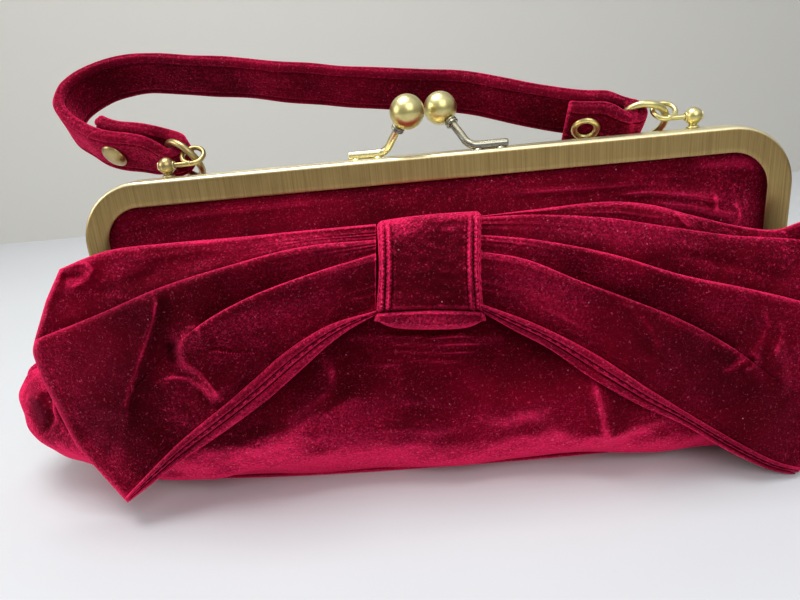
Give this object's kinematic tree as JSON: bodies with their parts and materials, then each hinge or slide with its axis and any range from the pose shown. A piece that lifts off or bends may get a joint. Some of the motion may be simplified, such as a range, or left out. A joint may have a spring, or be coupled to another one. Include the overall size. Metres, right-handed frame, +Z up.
{
  "type": "clutch purse",
  "caption": "Rounded velvet clutch purse with a metal channel frame, kiss-lock ball clasp, front bow and a short wrist strap hung from posts on the rear half.",
  "frame": {"origin": "on the table under the middle of the metal frame, on the underside of the base", "axes": "+X to the right seen from the front, +Y to the back, +Z up; the bow faces -Y"},
  "size_m": [0.361, 0.1088, 0.1732],
  "materials": {
    "velvet": "crimson pile velvet",
    "interlining": "matt felted",
    "lining": "satin weave",
    "board": "matt",
    "cord": "matt twisted",
    "antique_brass": "brushed antique",
    "grey_steel": "satin"
  },
  "bodies": {
    "pouch": {"front_frame_channel": "antique_brass", "front_frame_cord": "cord", "hinge_rivet_left": "antique_brass", "hinge_rivet_right": "antique_brass", "front_clasp_arm": "grey_steel", "front_clasp_collar": "grey_steel", "front_clasp_ball": "antique_brass", "front_panel": "velvet", "front_interlining": "interlining", "front_lining": "lining", "rear_panel_lower": "velvet", "rear_interlining_lower": "interlining", "rear_lining_lower": "lining", "base_panel": "velvet", "base_board": "board", "base_lining": "lining", "bow_left_wing": "velvet", "bow_right_wing": "velvet", "bow_knot": "velvet"},
    "rear_half": {"rear_frame_channel": "antique_brass", "rear_frame_cord": "cord", "rear_clasp_arm": "antique_brass", "rear_clasp_collar": "grey_steel", "rear_clasp_ball": "antique_brass", "rear_panel_upper": "velvet", "rear_interlining_upper": "interlining", "rear_lining_upper": "lining", "handle_post_left": "antique_brass", "handle_post_right": "antique_brass"},
    "swivel_left": {"swivel_eye_left": "antique_brass"},
    "swivel_right": {"swivel_eye_right": "antique_brass"},
    "handle": {"strap": "velvet", "strap_ring_left": "antique_brass", "strap_ring_right": "antique_brass", "strap_rivet_cap_left": "antique_brass", "strap_rivet_cap_right": "antique_brass", "strap_rivet_socket_left": "antique_brass", "strap_rivet_socket_right": "antique_brass"}
  },
  "joints": [
    {"name": "frame_open", "type": "hinge", "parent": "pouch", "child": "rear_half", "pos_m": [0, 0, 0.062], "axis": [-1, 0, 0], "range_deg": [0, 65]},
    {"name": "swivel_left_turn", "type": "hinge", "parent": "rear_half", "child": "swivel_left", "pos_m": [-0.101, 0.0029, 0.126], "axis": [1, 0, 0], "range_deg": [-0.5, 120]},
    {"name": "swivel_right_turn", "type": "hinge", "parent": "rear_half", "child": "swivel_right", "pos_m": [0.101, 0.0029, 0.126], "axis": [1, 0, 0], "range_deg": [-0.5, 120]},
    {"name": "handle_tilt", "type": "hinge", "parent": "swivel_left", "child": "handle", "pos_m": [-0.0912, 0.00612, 0.1287], "axis": [1, 0, 0], "range_deg": [-0.5, 5]}
  ],
  "couplings": [
    {"joint": "swivel_right_turn", "follows": "swivel_left_turn", "ratio": 1}
  ]
}
